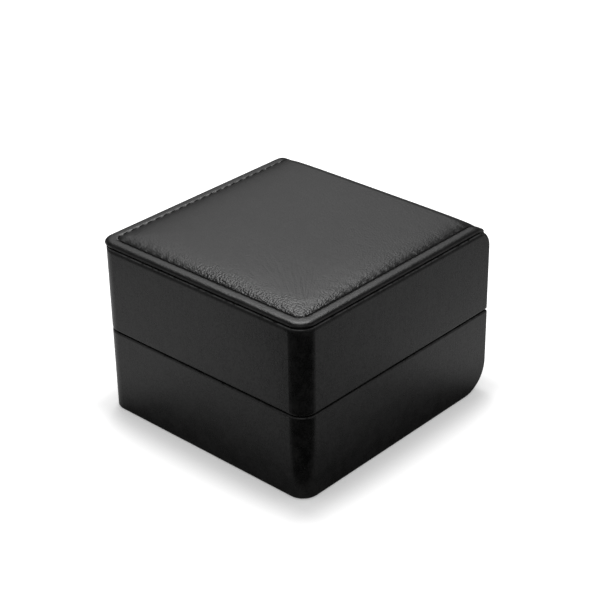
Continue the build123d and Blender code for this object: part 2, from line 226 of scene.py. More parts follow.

# %% [markdown]
# The photograph is taken on a white sweep and its background is blown out to white. Here the world
# is plain white to the camera and lights the box evenly at a lower level. The floor is a pale matt
# sheet that glows a little for the camera alone, so that it clips to white where it is lit. The
# glow is painted weaker towards the foot of the box, a painted shadow that deepens the grey shadow
# there. The floor's colour, as the leather mirrors it, has painted shade: darker near the box and
# far away, as the lower walls show in the photograph.

# %% Floor
FLOOR_SIZE = 6.0
FLOOR_TONE = 0.80
GLOW_AT_FOOT, GLOW_FAR, GLOW_REACH = 0.26, 0.72, 0.018
SHADE_AT_FOOT, SHADE_REACH, SHADE_ROUNDING = 0.30, 0.032, 0.025
FAR_SHARE, FAR_EDGE = 0.25, (0.115, 0.220)
foot = (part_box("base_side_wrap")[1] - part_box("base_side_wrap")[0]) / 2


def from_foot(finish, rounding=0.0):
    """Distance from the foot of the box, in metres, on a sheet whose origin is the world's."""
    x, y, _ = finish.xyz()
    beside = (abs(x) - (foot.x - rounding)).most(0.0)
    before = (abs(y) - (foot.y - rounding)).most(0.0)
    return (beside * beside + before * before) ** 0.5 - rounding


def shaded(finish, tone, seen=0.0):
    """The colour of a pale sheet, with painted shade: darker at the foot of the box, where the box
    keeps light off, and darker far away. Where seen is 1 it has its full tone."""
    away = from_foot(finish, SHADE_ROUNDING)
    near, far = away.step(0.0, SHADE_REACH), 1 - away.step(*FAR_EDGE)
    # painted shade: the tone is darker near the foot and far away, unless seen is 1
    lit = (near.between(SHADE_AT_FOOT, 1.0) * far.between(FAR_SHARE, 1.0)).most(seen)
    return finish.blend(lit * tone, grey(0.0), grey(1.0))


bpy.ops.mesh.primitive_circle_add(vertices=64, radius=FLOOR_SIZE / 2, fill_type="NGON")
floor_sheet = named("floor_sheet")
paper = Finish("white_paper", Roughness=0.9, Specular_IOR_Level=0.1, Emission_Strength=1.0)
seen = paper.node("ShaderNodeLightPath", out="Is Camera Ray")
# painted shadow: the glow is weaker near the foot of the box, which deepens its shadow
glow = from_foot(paper).step(0.0, GLOW_REACH).between(GLOW_AT_FOOT, GLOW_FAR)
paper.set(Base_Color=shaded(paper, FLOOR_TONE, seen))
paper.set(Emission_Color=paper.blend(seen * glow, grey(0.0), grey(1.0)))
put_on(paper, floor_sheet)
print("floor:", FLOOR_SIZE, "m across, the box's foot:", [round(2 * c / MM, 1) for c in foot.xy], "mm")

# %% [markdown]
# Black leatherette shows little but what it mirrors, so the room that the box mirrors is drawn
# with care. A tall soft window stands behind the box to the left and gets brighter towards the
# ceiling: the top of the lid mirrors it. The walls of the room are pale just above the horizon, to
# both sides, and leave a thin line of light on the rounded rims. A weaker window over the camera
# lights the views from behind, and the rest is dim.

# %% World
SKY_LIGHT, DIM = 0.66, 0.10
ACROSS = Vector((cos(AZIMUTH), sin(AZIMUTH), 0))
AWAY = Vector((-sin(AZIMUTH), cos(AZIMUTH), 0))

# Where each soft edge begins and ends, as the sine of the angle to it.
WINDOW_SHIFT, WINDOW_SIDES, WINDOW_BEHIND, WINDOW_RISE = 0.03, (0.11, 0.27), (-0.25, 0.10), (0.15, 0.62)
HORIZON_TOP, HORIZON_SIDES, HORIZON_LIGHT = (0.10, 0.45), (0.40, 0.80), 0.6
FRONT_SIDES, FRONT_AHEAD, FRONT_RISE, FRONT_LIGHT = (0.25, 0.60), (0.20, 0.50), (0.25, 0.55), 0.30

world = bpy.data.worlds.new("white_room")
bpy.context.scene.world = world
room = Finish("white_room", owner=world)
sky = room.tree.nodes["Background"]
direction = room.node("ShaderNodeTexCoord", out="Generated")


def towards(vector):
    """1 in the direction of the vector, 0 square to it and -1 away from it."""
    pair = {0: direction, 1: vector}
    return room.node("ShaderNodeVectorMath", {"operation": "DOT_PRODUCT"}, pair, out="Value")


sideways = abs(towards(ACROSS) + WINDOW_SHIFT)
raised = towards(Vector((0, 0, 1)))
window = (1 - sideways.step(*WINDOW_SIDES)) * towards(AWAY).step(*WINDOW_BEHIND) * raised.step(*WINDOW_RISE)
horizon = (1 - raised.step(*HORIZON_TOP)) * sideways.step(*HORIZON_SIDES) * HORIZON_LIGHT
ahead = towards(-AWAY).step(*FRONT_AHEAD) * raised.step(*FRONT_RISE)
in_front = (1 - sideways.step(*FRONT_SIDES)) * ahead * FRONT_LIGHT
mirrored = window.most(horizon).most(in_front).between(DIM, 1.0)
glossy = room.node("ShaderNodeLightPath", out="Is Glossy Ray")
passing = room.node("ShaderNodeLightPath", out="Is Transmission Ray")
plain = room.node("ShaderNodeLightPath", out="Is Camera Ray") + passing
lit = 1 - plain - glossy
room.feed(sky.inputs["Strength"], plain + glossy * mirrored + lit * SKY_LIGHT)
sky.inputs["Color"].default_value = grey(1.0)
print("room:", len(room.tree.nodes), "nodes")

# %% [markdown]
# One big soft lamp hangs over the box, a little behind it and to the left. It is what puts the
# pale sheen on the near corner of the padded panel. A small one in its middle is bright for its
# size, and makes the pebbles of the grain sparkle there. Two cards lie on the table, where only
# reflections see them. The black one in front of the near corner makes that corner nearly black,
# as a photographer's flag does. The grey one on the right takes some light off the right walls.
# Its colour has painted light, a paler patch that lights their rear end in reflection, and the
# painted shade of the floor near the box.

# %% Lamps and cards
LAMP_PLACE = Vector((-0.231, 0.251, 0.653))
LAMPS = {"soft": (0.42, 1.4), "spark": (0.11, 0.32)}

for name, (size, power) in LAMPS.items():
    bpy.ops.object.light_add(type="AREA", location=LAMP_PLACE)
    lamp = bpy.context.object
    lamp.name = lamp.data.name = name
    lamp.data.shape, lamp.data.size, lamp.data.energy = "DISK", size, power
    lamp.rotation_euler = (LAMP_PLACE - TARGET).to_track_quat("Z", "Y").to_euler()


def card(name, size, centre, turn):
    """A card on the table that only reflections see. Returns its finish."""
    bpy.ops.mesh.primitive_plane_add(size=1, location=centre)
    sheet = named(name)
    sheet.scale = (*size, 1)
    sheet.rotation_euler.z = turn
    bpy.ops.object.transform_apply(location=True, rotation=True, scale=True)
    sheet.visible_camera = sheet.visible_diffuse = sheet.visible_shadow = sheet.visible_transmission = False
    finish = Finish(name, Roughness=1.0, Specular_IOR_Level=0.0)
    put_on(finish, sheet)
    return finish


BLACK_CARD, BLACK_TONE, BLACK_GAP, BLACK_LEVEL = (0.70, 0.45), 0.05, 0.004, 0.0004
GREY_CARD, GREY_TONE, GREY_GAP, GREY_LEVEL, GREY_SHIFT = (0.40, 0.60), 0.57, 0.001, 0.0002, 0.15
PATCH_FROM_Y, PATCH_TO_X, PATCH_TONE = (0.022, 0.065), (0.075, 0.105), 0.29
REAR_FROM_Y, REAR_TONE = (0.085, 0.13), 0.04

near_corner = Vector((foot.x, -foot.y, BLACK_LEVEL))
black_centre = near_corner - AWAY * (BLACK_CARD[1] / 2 + BLACK_GAP)
card("black_card", BLACK_CARD, black_centre, AZIMUTH).set(Base_Color=grey(BLACK_TONE))
grey_centre = Vector((foot.x + GREY_CARD[0] / 2 + GREY_GAP, GREY_SHIFT, GREY_LEVEL))
grey_card = card("grey_card", GREY_CARD, grey_centre, 0)
card_x, card_y, _ = grey_card.xyz()
# painted light: a paler patch on the card, towards the rear, lights the rear of the right walls in
# reflection
painted_light_patch = card_y.step(*PATCH_FROM_Y) * (1 - card_x.step(*PATCH_TO_X)) * PATCH_TONE
painted_light_patch = painted_light_patch + card_y.step(*REAR_FROM_Y) * REAR_TONE
# painted shade near the box's foot comes from shaded, as on the floor
grey_card.set(Base_Color=shaded(grey_card, GREY_TONE + painted_light_patch))
print("lamps:", len(LAMPS), "at", [round(c / MM) for c in LAMP_PLACE], "mm")

# %% [markdown]
# Black leatherette is a plastic skin with a pressed grain. It has small rounded pebbles with
# creases between them and hardly any colour of its own. Its looks are all in the gloss, so the
# base colour is nearly black and the grain goes into the bump and the roughness. The pebbles are
# Voronoi cells, and a coarser noise shifts them so that they don't sit in rows.

# %% Grain of the leatherette
CELL_SMOOTHNESS, CREASE_EDGE = 0.25, (0.40, 0.80)
PATCH_SIZE, PATCH_EDGE, FINE_SIZE, FINE_SHARE = 5.0, (0.30, 0.70), 0.18, 0.2


def pressed_grain(skin, size):
    """Height of the grain, from about 0 to 1, a mask of its creases, and soft patches of the skin."""
    place, reach = skin.place(), (size * MM,) * 3
    drift = skin.noise(3 * size, 1.0, out="Color")
    bent = skin.node("ShaderNodeVectorMath", {"operation": "MULTIPLY_ADD"}, {0: drift, 1: reach, 2: place})
    look = {"Vector": bent, "Scale": 1 / (size * MM), "Smoothness": CELL_SMOOTHNESS}
    cells = skin.node("ShaderNodeTexVoronoi", {"feature": "SMOOTH_F1"}, look)
    patch = skin.noise(PATCH_SIZE, 4.0, 0.6)
    height = (1 - cells) * patch.between(0.6, 1.4) + skin.noise(FINE_SIZE, 2.0) * FINE_SHARE
    return height, cells.step(*CREASE_EDGE), patch


def skin_tone(skin, crease, patch, dark, pale):
    """The hardly seen colour of the skin: pale on the pebbles of some patches, dark elsewhere."""
    return skin.blend(patch.step(*PATCH_EDGE) * (1 - crease), dark, pale)

# %% [markdown]
# On the walls the skin is stretched tight, so the grain is shallow, and soft patches and faint
# upright streaks show. A hair line of painted highlight, paler colour broken up by noise, runs
# where the skin turns over an edge: along the top of the lid, at both sides of the parting and at
# the foot. The skin also bulges a little where it is drawn over the top of the lid's wall, which
# the bump adds as the height of an arc.

# %% Leatherette on the walls
WALL_PEBBLE, WALL_GRAIN = 0.60, 0.016
WALL_STREAKS, STREAK_SCALES = 0.018, (900.0, 900.0, 110.0)
TURN_R, TURN_DEPTH = 4.5, 2.4
# painted highlight: width, tone and break-up of the paler hair lines along the edges
HIGHLIGHT_WIDTH, HIGHLIGHT_TONE, HIGHLIGHT_BREAK_SIZE, HIGHLIGHT_BREAK_EDGE = (0.10, 0.26), grey(0.085), 1.5, (0.25, 0.6)
base_low, base_high = (corner.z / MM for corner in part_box("base_side_wrap"))
lid_low, lid_high = (corner.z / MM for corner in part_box("lid_side_wrap"))
foot_line, lower_lip = (base_low + 0.30, 0.70), (base_high - 0.30, 0.25)
upper_lip, top_line = (lid_low + 0.30, 0.15), (lid_high - 0.62, 1.0)

wall_leather = Finish("leatherette", Specular_IOR_Level=0.34, IOR=1.5)
grain, crease, patch = pressed_grain(wall_leather, WALL_PEBBLE)
level_z = wall_leather.xyz()[2] / MM
# painted highlight: a hair line of paler colour along each edge, strongest at the top of the lid
painted_highlight = 0.0
for line, strength in (foot_line, lower_lip, upper_lip, top_line):
    painted_highlight = (1 - abs(level_z - line).step(*HIGHLIGHT_WIDTH)) * strength + painted_highlight
painted_highlight = painted_highlight * wall_leather.noise(HIGHLIGHT_BREAK_SIZE).step(*HIGHLIGHT_BREAK_EDGE)
into_turn = (level_z - (lid_high - TURN_DEPTH)).most(0.0)
turned = into_turn * into_turn * (-0.5 / TURN_R)
streaks = wall_leather.streaks(STREAK_SCALES, 2.0) * WALL_STREAKS
tone = skin_tone(wall_leather, crease, patch, grey(0.0012), grey(0.0095, 0.02))
wall_leather.set(Base_Color=wall_leather.blend(painted_highlight, tone, HIGHLIGHT_TONE))
wall_leather.set(Roughness=patch.between(0.24, 0.31) + crease * 0.08)
wall_leather.set(Normal=wall_leather.bump(grain * WALL_GRAIN + turned + streaks))
put_on(wall_leather, nodes["lid_side_wrap"], nodes["base_side_wrap"])
print("the lid's wall runs from", round(lid_low, 1), "to", round(lid_high, 1), "mm")

# %% [markdown]
# The panel on the lid is a card wrapped in leatherette over a sheet of foam. Its edge rolls over
# the card, a line of stitches pulls the skin down four millimetres inside the wall, and the foam
# lifts the field within. On the real box it is cut flat and glued over the lid's rear curve. It
# is made the same way here: a flat sheet is laid out, puffed up, and only then bent over the back.

# %% Sizes of the panel
COVER = 0.8
TOP_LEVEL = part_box("lid_panel_board")[1].z / MM + COVER
EDGE_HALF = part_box("lid_panel_cover")[1].x / MM
FRONT_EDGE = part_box("lid_panel_cover")[0].y / MM
TAIL_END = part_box("lid_panel_cover")[0].z / MM
WALL_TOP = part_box("lid_side_wrap")[1].z / MM
BACK_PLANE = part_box("lid_side_wrap")[1].y / MM
CURVE_R = 9.4
WALL_CURVE_R = 8.0
CURVE_START = BACK_PLANE - CURVE_R
FLAT_LENGTH = CURVE_START - FRONT_EDGE
CURVE_LENGTH = CURVE_R * pi / 2
CURVE_CENTRE_Z = TOP_LEVEL - CURVE_R
PANEL_LENGTH = FLAT_LENGTH + CURVE_LENGTH + CURVE_CENTRE_Z - TAIL_END
STITCH_INSET = 4.3
FRONT_RADIUS, REAR_RADIUS, STITCH_RADIUS = 6.5, 1.5, 4.0
PAD_RISE, BACK_RISE, PAD_CURVE_R = 1.55, 0.75, 12.7
print("panel is cut", round(2 * EDGE_HALF, 1), "by", round(PANEL_LENGTH, 1), "mm")

# %% [markdown]
# The same skin over foam looks different from place to place. In the middle it lies easy and
# nearly smooth. Towards the near corner the seam pulls it down, the pebbles open up and sparkle,
# and faint creases fan out from the corner. So the grain's depth follows the distance to the seam
# and to that corner, and the creases are noise in polar coordinates around it.

# %% Leatherette on the panel
PANEL_PEBBLE = 0.72
GRAIN_EASY, GRAIN_PULLED = 0.040, 0.125

# How far from the seam the skin is pulled, and how far along it, in millimetres.
FRONT_BAND, FRONT_ALONG, FRONT_SHARE = (2, 13), (36, 78), (0.15, 1.0)
SIDE_BAND, SIDE_ALONG, SIDE_SHARE = (1, 10), (8, 36), (0.20, 0.60)
RIM_BAND, RIM_SHARE = (-3.6, -2.2), 0.25

# The creases begin and end at these distances from the corner, and fan out from just outside it.
FOLD_DEPTH, FOLDS_BEGIN, FOLDS_END = 0.110, (6, 12), (30, 62)
FAN_ORIGIN, FAN_PITCH, FAN_RUN = 4 * MM, 24.0, 90.0


def from_to(distance, begin, end):
    """0 up to begin and 1 from end on. The distance is in metres, and the two are in millimetres."""
    return distance.step(begin * MM, end * MM)


panel_leather = Finish("leatherette_panel", Specular_IOR_Level=0.58, IOR=1.5)
grain, crease, patch = pressed_grain(panel_leather, PANEL_PEBBLE)
x, y, _ = panel_leather.xyz()
from_side = (EDGE_HALF - STITCH_INSET) * MM - x
from_front = y - (FRONT_EDGE + STITCH_INSET) * MM
from_seam = from_side.least(from_front)
from_corner = (from_side * from_side + from_front * from_front) ** 0.5
front_share = (1 - from_to(from_side, *FRONT_ALONG)).between(*FRONT_SHARE)
side_share = (1 - from_to(from_front, *SIDE_ALONG)).between(*SIDE_SHARE)
by_front = (1 - from_to(from_front, *FRONT_BAND)) * front_share
by_side = (1 - from_to(from_side, *SIDE_BAND)) * side_share
on_rim = (1 - from_to(from_seam, *RIM_BAND)) * RIM_SHARE
pulled = (from_to(from_seam, -0.5, 0.5) * by_front.most(by_side)).most(on_rim)
bearing = from_front.maths("ARCTAN2", from_front + FAN_ORIGIN, from_side + FAN_ORIGIN)
fan = panel_leather.node("ShaderNodeCombineXYZ", None, {0: bearing * FAN_PITCH, 1: from_corner * FAN_RUN})
folds = panel_leather.drawn_noise(fan, 1.5)
folds = folds * from_to(from_corner, *FOLDS_BEGIN) * (1 - from_to(from_corner, *FOLDS_END))
depth = pulled.between(GRAIN_EASY, GRAIN_PULLED)
panel_leather.set(Normal=panel_leather.bump(grain * depth + folds * FOLD_DEPTH))
panel_leather.set(Roughness=patch.between(0.27, 0.34) + crease * 0.06 - pulled * 0.05)
panel_leather.set(Base_Color=skin_tone(panel_leather, crease, patch, grey(0.0022), grey(0.0075, 0.02)))
put_on(panel_leather, nodes["lid_panel_cover"])
print("leather on the panel:", len(panel_leather.tree.nodes), "nodes")

# %% [markdown]
# A soft piece is shaped by moving all its points at once, by a rule for where each one goes. A
# mesh hands its points over as one long list of numbers, so two helpers carry them to a table
# with a row for each point, and back.

# %% Points of a mesh
def points_of(piece):
    co = np.empty(3 * len(piece.data.vertices), np.float32)
    piece.data.vertices.foreach_get("co", co)
    return co.reshape(-1, 3).astype(float)


def move_points(piece, points):
    piece.data.vertices.foreach_set("co", points.astype(np.float32).ravel())
    piece.data.update()

# %% [markdown]
# The sheet starts as a grid primitive. Its lines are drawn close together along the edge, where
# the skin rolls and is sewn, and wider apart in the middle. Each ring of the grid is then given
# round corners, so that the mesh runs along the border instead of across it.

# %% Lay out the flat sheet
BORDER_LINES = [0, 0.12, 0.35, 0.7, 1.2, 2.0, 2.9, 3.6, 4.05, 4.3, 4.55, 5.0, 5.7, 6.6, 7.7, 9.0]
FIELD_STEP = 1.3
LEAST_RADIUS = 0.4
TINY = 1e-6


def ruled(length):
    """Places of the grid lines along one direction, close together at both ends."""
    middle = length - 2 * BORDER_LINES[-1]
    count = round(middle / FIELD_STEP)
    field = [BORDER_LINES[-1] + middle * i / count for i in range(1, count)]
    return np.array(BORDER_LINES + field + [length - line for line in reversed(BORDER_LINES)])


def rounded_sheet(name, width, length, radius_at):
    """A flat sheet whose rings have round corners: radius_at(inset, at_front) in millimetres."""
    across, along = ruled(width), ruled(length)
    bpy.ops.mesh.primitive_grid_add(x_subdivisions=len(across) - 1, y_subdivisions=len(along) - 1, size=1)
    sheet = named(name)
    column = np.tile(np.arange(len(across)), len(along))
    row = np.repeat(np.arange(len(along)), len(across))
    left, front = column < len(across) / 2, row < len(along) / 2
    from_side = np.where(left, across[column], width - across[column])
    from_end = np.where(front, along[row], length - along[row])
    inset = np.minimum(from_side, from_end)
    radius = np.where(front, radius_at(inset, True), radius_at(inset, False))
    run = np.maximum(from_side, from_end) - inset
    turn = np.radians(45) * (1 - np.minimum(run / np.maximum(radius, TINY), 1))
    long_way, short_way = radius * (1 - np.sin(turn)), radius * (1 - np.cos(turn))
    by_end, curved = from_side > from_end, run < radius
    x_in = np.where(curved, np.where(by_end, long_way, short_way), from_side - inset) + inset
    y_in = np.where(curved, np.where(by_end, short_way, long_way), from_end - inset) + inset
    x = np.where(left, x_in, width - x_in) - width / 2
    y = np.where(front, y_in, length - y_in)
    move_points(sheet, np.column_stack([x, y, 0 * x]))
    return sheet


def ring_radius(inset, at_front):
    """Radius of a ring's corners, which goes from the edge's own to the seam's."""
    if at_front:
        eased = FRONT_RADIUS - (FRONT_RADIUS - STITCH_RADIUS) * inset / STITCH_INSET
        return np.maximum(eased, LEAST_RADIUS)
    return np.minimum(REAR_RADIUS + inset * 0.5, STITCH_RADIUS)


panel = rounded_sheet("panel_cover", 2 * EDGE_HALF, PANEL_LENGTH, ring_radius)
print("panel sheet:", len(panel.data.polygons), "faces")

# %% [markdown]
# How far a point lies inside the stitch line decides what happens to it. The distance to a
# rectangle with round corners is a short formula, and it needs nothing from the mesh.

# %% Distance inside a rounded rectangle
def inside(x, y, half, front, end, front_radius, end_radius):
    """Distance in from the line, in millimetres, and below 0 outside it."""
    middle, reach = (front + end) / 2, (end - front) / 2
    radius = np.where(y < middle, front_radius, end_radius)
    dx = np.abs(x) - (half - radius)
    dy = np.abs(y - middle) - (reach - radius)
    beyond = np.hypot(np.maximum(dx, 0), np.maximum(dy, 0))
    return radius - beyond - np.minimum(np.maximum(dx, dy), 0)


def inside_edge(flat):
    return inside(flat[:, 0], flat[:, 1], EDGE_HALF, 0, PANEL_LENGTH, FRONT_RADIUS, REAR_RADIUS)


def inside_stitches(flat):
    half, end = EDGE_HALF - STITCH_INSET, PANEL_LENGTH - STITCH_INSET
    return inside(flat[:, 0], flat[:, 1], half, STITCH_INSET, end, STITCH_RADIUS, STITCH_RADIUS)

# %% [markdown]
# Soft pieces are swollen with Blender's cloth: pressure pushes the skin out, and a little slack in
# it lets it pucker where it is held. Cloth behaves best at about a metre across, so a piece is
# simulated at ten times its size. No gravity pulls on it, because the foam carries the skin.

# %% Inflate a piece as cloth
CLOTH_SCALE, CLOTH_FRAMES = 0.01, 20
CLOTH_QUALITY, CLOTH_MASS = 6, 0.3


def inflate(piece, pinned, pressure, slack, stiffness=12.0, bending=0.6):
    """Runs the cloth on a piece laid out in millimetres, and leaves the result in its mesh."""
    move_points(piece, points_of(piece) * CLOTH_SCALE)
    pick(piece)
    if pinned is not None:
        group = piece.vertex_groups.new(name="pinned")
        group.add([int(k) for k in np.nonzero(pinned)[0]], 1.0, "REPLACE")
    cloth = piece.modifiers.new("swell", "CLOTH")
    made = cloth.settings
    made.quality, made.mass = CLOTH_QUALITY, CLOTH_MASS
    made.tension_stiffness = made.compression_stiffness = stiffness
    made.shear_stiffness = stiffness / 2
    made.bending_stiffness = bending
    made.use_pressure = True
    made.uniform_pressure_force = pressure
    made.shrink_min = -slack
    made.effector_weights.gravity = 0.0
    if pinned is not None:
        made.vertex_group_mass = "pinned"
    cloth.collision_settings.use_collision = False
    cloth.point_cache.frame_end = CLOTH_FRAMES
    for step in range(1, CLOTH_FRAMES + 1):
        bpy.context.scene.frame_set(step)
    bpy.ops.object.modifier_apply(modifier=cloth.name)
    bpy.context.scene.frame_set(1)
    piece.vertex_groups.clear()
    move_points(piece, points_of(piece) / CLOTH_SCALE)

# %% [markdown]
# The sheet is pinned outside the stitches and swells within them. That gives the rise of a
# balloon, which is turned into that of a foam sheet: steep beside the seam and flat on top, with
# the puckers of the cloth showing only in part.

# %% Puff up the field
STEEP_SHARE, STEEP_REACH, SLOW_REACH = 0.62, 3.2, 11.0
PUCKERS = 0.35


def foam_rise(depth_in):
    """The plain shape of a foam sheet under the skin, by distance inside the stitches: a steep
    rise beside the seam, and a slow one from there to the middle."""
    depth = np.maximum(depth_in, 0)
    steep, slow = 1 - np.exp(-depth / STEEP_REACH), 1 - np.exp(-depth / SLOW_REACH)
    return STEEP_SHARE * steep + (1 - STEEP_SHARE) * slow


flat = points_of(panel)
inflate(panel, inside_stitches(flat) < 0.05, pressure=3.0, slack=0.006)
lift, depth_in = points_of(panel)[:, 2], inside_stitches(flat)
slope = np.median((lift / depth_in)[(depth_in > 1) & (depth_in < 4)])
swell = (1 - PUCKERS) * foam_rise(depth_in) + PUCKERS * foam_rise(lift / slope)
print("cloth rose", round(float(lift.max()), 1), "mm, at the seam by", round(float(slope), 2), "a mm")
move_points(panel, np.column_stack([flat[:, :2], swell]))

# %% [markdown]
# The seam is a line of stitches four millimetres apart, with a hole between each two. Walking
# round the rectangle gives the middle and the heading of every stitch, and the holes lie half a
# pitch further on.

# %% Line of the seam
PITCH = 4.0
BATCH = 4000


def round_path(half, front, end, radius, pitch):
    """Points and headings along a rectangle with round corners, one at each pitch."""
    straight_x, straight_y = 2 * (half - radius), end - front - 2 * radius
    arc = radius * pi / 2
    around = 2 * (straight_x + straight_y + 2 * arc)
    count = round(around / pitch)
    corners = [(radius - half, front, 0), (half, front + radius, 90)]
    corners += [(half - radius, end, 180), (-half, end - radius, 270)]
    path = []
    for k in range(count):
        rest = around * k / count
        for (x, y, heading), straight in zip(corners, [straight_x, straight_y] * 2):
            ahead = Vector((cos(radians(heading)), sin(radians(heading))))
            left = Vector((-ahead.y, ahead.x))
            if rest < straight:
                path.append((Vector((x, y)) + ahead * rest, ahead))
                break
            rest -= straight
            if rest < arc:
                turn = rest / radius
                centre = Vector((x, y)) + ahead * straight + left * radius
                spoke = ahead * sin(turn) - left * cos(turn)
                path.append((centre + spoke * radius, ahead * cos(turn) + left * sin(turn)))
                break
            rest -= arc
    return path


seam_x, seam_end = EDGE_HALF - STITCH_INSET, PANEL_LENGTH - STITCH_INSET
seam = round_path(seam_x, STITCH_INSET, seam_end, STITCH_RADIUS, PITCH)
holes = np.array([(spot + heading * PITCH / 2)[:] for spot, heading in seam])
print("stitches:", len(seam))


def nearest_hole(flat):
    """Distance to the nearest hole, worked out batch by batch to save memory."""
    distance = np.empty(len(flat))
    for start in range(0, len(flat), BATCH):
        part = flat[start:start + BATCH, None, :2] - holes[None]
        distance[start:start + BATCH] = np.hypot(part[..., 0], part[..., 1]).min(1)
    return distance

# %% [markdown]
# The panel's rear curve is wider than the wall's, and the foam's is wider still. So the edge comes
# closer to the wall over the curve, until it meets it, and the foam stands less proud there. Both
# follow from the distance between two arcs.

# %% Edge and foam over the rear curve
ROLL_R, LEAST_ROLL, ROLL_SHARE = 1.2, 0.35, 0.63


def wall_gap(along):
    """Height of the panel's edge over the wall: full on top, and nothing where the curve meets it."""
    turn = np.clip((along - FLAT_LENGTH) / CURVE_R, 0, pi / 2)
    y, z = CURVE_START + CURVE_R * np.sin(turn), CURVE_CENTRE_Z + CURVE_R * np.cos(turn)
    centre_y, centre_z = BACK_PLANE - WALL_CURVE_R, WALL_TOP - WALL_CURVE_R
    gap = np.hypot(y - centre_y, z - centre_z) - WALL_CURVE_R
    return np.where(turn > 0, gap, TOP_LEVEL - WALL_TOP)


def pad_rise(along):
    """How proud the foam stands: less over the rear curve, which its own curve is wider than."""
    turn = np.clip((along - FLAT_LENGTH) / CURVE_R, 0, pi / 2)
    wider = PAD_CURVE_R - CURVE_R
    return wider - (wider - BACK_RISE) * np.sin(turn) - (wider - PAD_RISE) * np.cos(turn)


def roll_radius(along):
    """Radius of the rolled edge, smaller where the panel lies closer to the wall."""
    return np.clip(wall_gap(along) * ROLL_SHARE, LEAST_ROLL, ROLL_R)

# %% [markdown]
# A subdivision gives the sheet the detail for the seam. Then its height is worked out point by
# point: the roll over the card's edge, the furrow of the stitches with a deeper dimple at each
# hole, the small puckers that fan into the pad, and the foam.

# %% Shape the seam and the edge
ROLL_WIDTH = 2.1
FURROW, FURROW_WIDTH = 0.15, 0.17
HOLE, HOLE_WIDTH = 0.10, 0.45
PUCKER, PUCKER_WIDTH, PUCKER_FROM = 0.16, 1.5, -0.6
RIM_CROWN, CROWN_INSET, CROWN_WIDTH = 0.03, 3.1, 0.8

pick(panel)
panel.modifiers.new("finer", "SUBSURF").levels = 1
bpy.ops.object.modifier_apply(modifier="finer")


def bell(distance, width):
    """1 at no distance, and gone at about twice the width."""
    return np.exp(-(distance / width) ** 2)


def height(flat, swell):
    """Height over the flat sheet, in millimetres. The swell of the foam goes from 0 to 1."""
    edge, depth_in = inside_edge(flat), inside_stitches(flat)
    radius = roll_radius(flat[:, 1])
    short = np.clip(1 - edge * ROLL_R / ROLL_WIDTH / radius, 0, 1)
    rolled = radius * (np.sqrt(1 - short ** 2) - 1)
    crown = RIM_CROWN * bell(edge - CROWN_INSET, CROWN_WIDTH)
    furrow = -FURROW * bell(depth_in, FURROW_WIDTH)
    hole = nearest_hole(flat)
    dimple = -HOLE * bell(hole, HOLE_WIDTH)
    pucker = -PUCKER * bell(hole, PUCKER_WIDTH) * (depth_in > PUCKER_FROM)
    return rolled + crown + furrow + dimple + pucker + swell * pad_rise(flat[:, 1])


flat = points_of(panel)
raised = height(flat, flat[:, 2])
move_points(panel, np.column_stack([flat[:, :2], raised]))
print("panel's heights:", round(float(raised.min()), 2), "to", round(float(raised.max()), 2), "mm")

# %% [markdown]
# The flat sheet is bent over the rear curve like the real one. The tail that runs down the back
# is let into the wall, so it is cut narrower than the top, and its side border tapers away where
# the curve meets the wall.

# %% Bend the panel over the back
TAIL_HALF = EDGE_HALF - 2.3
TAPER_FROM, TAPER_TO = FLAT_LENGTH + 4.6, FLAT_LENGTH + 8.4


def smooth_step(value, low, high):
    """0 below low, 1 above high, and smooth between them."""
    t = np.clip((value - low) / (high - low), 0, 1)
    return t * t * (3 - 2 * t)


def narrowed(x, along):
    """Draws the border in towards the seam, as far as the sheet is cut narrower there."""
    edge = EDGE_HALF + (TAIL_HALF - EDGE_HALF) * smooth_step(along, TAPER_FROM, TAPER_TO)
    squeeze = (edge - seam_x) / (EDGE_HALF - seam_x)
    return np.where(np.abs(x) > seam_x, np.sign(x) * (seam_x + (np.abs(x) - seam_x) * squeeze), x)


def bend(x, along, raised):
    """From the flat sheet, in millimetres, to the box, in metres."""
    turn = np.clip((along - FLAT_LENGTH) / CURVE_R, 0, pi / 2)
    y = np.minimum(along, FLAT_LENGTH) + FRONT_EDGE + (CURVE_R + raised) * np.sin(turn)
    below = np.maximum(along - FLAT_LENGTH - CURVE_LENGTH, 0)
    z = CURVE_CENTRE_Z + (CURVE_R + raised) * np.cos(turn) - below
    return np.column_stack([narrowed(x, along), y, z]) * MM


flat = points_of(panel)
move_points(panel, bend(*flat.T))
print("panel's points lie up to", round(float(points_of(panel)[:, 2].max()) / MM, 2), "mm over the table")

# %% [markdown]
# The sheet is still a thin surface. Its border is extruded ring by ring, and each ring is drawn in
# and down, so that the skin turns under the card and leaves a dark groove over the wall. Solidify
# then gives it the thickness of the skin, inwards.

# %% Turn the edge under and give the skin its thickness
SKIN = 0.45
TURNED_UNDER = [(0.10, 0.14), (0.27, 0.38), (0.46, 0.65), (0.64, 0.88), (0.80, 1.0)]
TAIL_GAP, LEAST_GAP, LEAST_DROP = 0.75, 0.3, 0.05


def open_edges(piece):
    """Selects the border of an open sheet, in edit mode."""
    bpy.ops.object.mode_set(mode="EDIT")
    bpy.ops.mesh.select_mode(type="EDGE")
    bpy.ops.mesh.select_all(action="DESELECT")
    only_open = dict(use_wire=False, use_multi_face=False, use_non_contiguous=False, use_verts=False)
    bpy.ops.mesh.select_non_manifold(extend=False, **only_open)


def inwards(flat):
    """Heading in from the border at points of the flat sheet."""
    steps = np.eye(3)[:2] * 0.01
    heading = np.column_stack([inside_edge(flat + step) - inside_edge(flat - step) for step in steps])
    return heading / np.linalg.norm(heading, axis=1, keepdims=True)


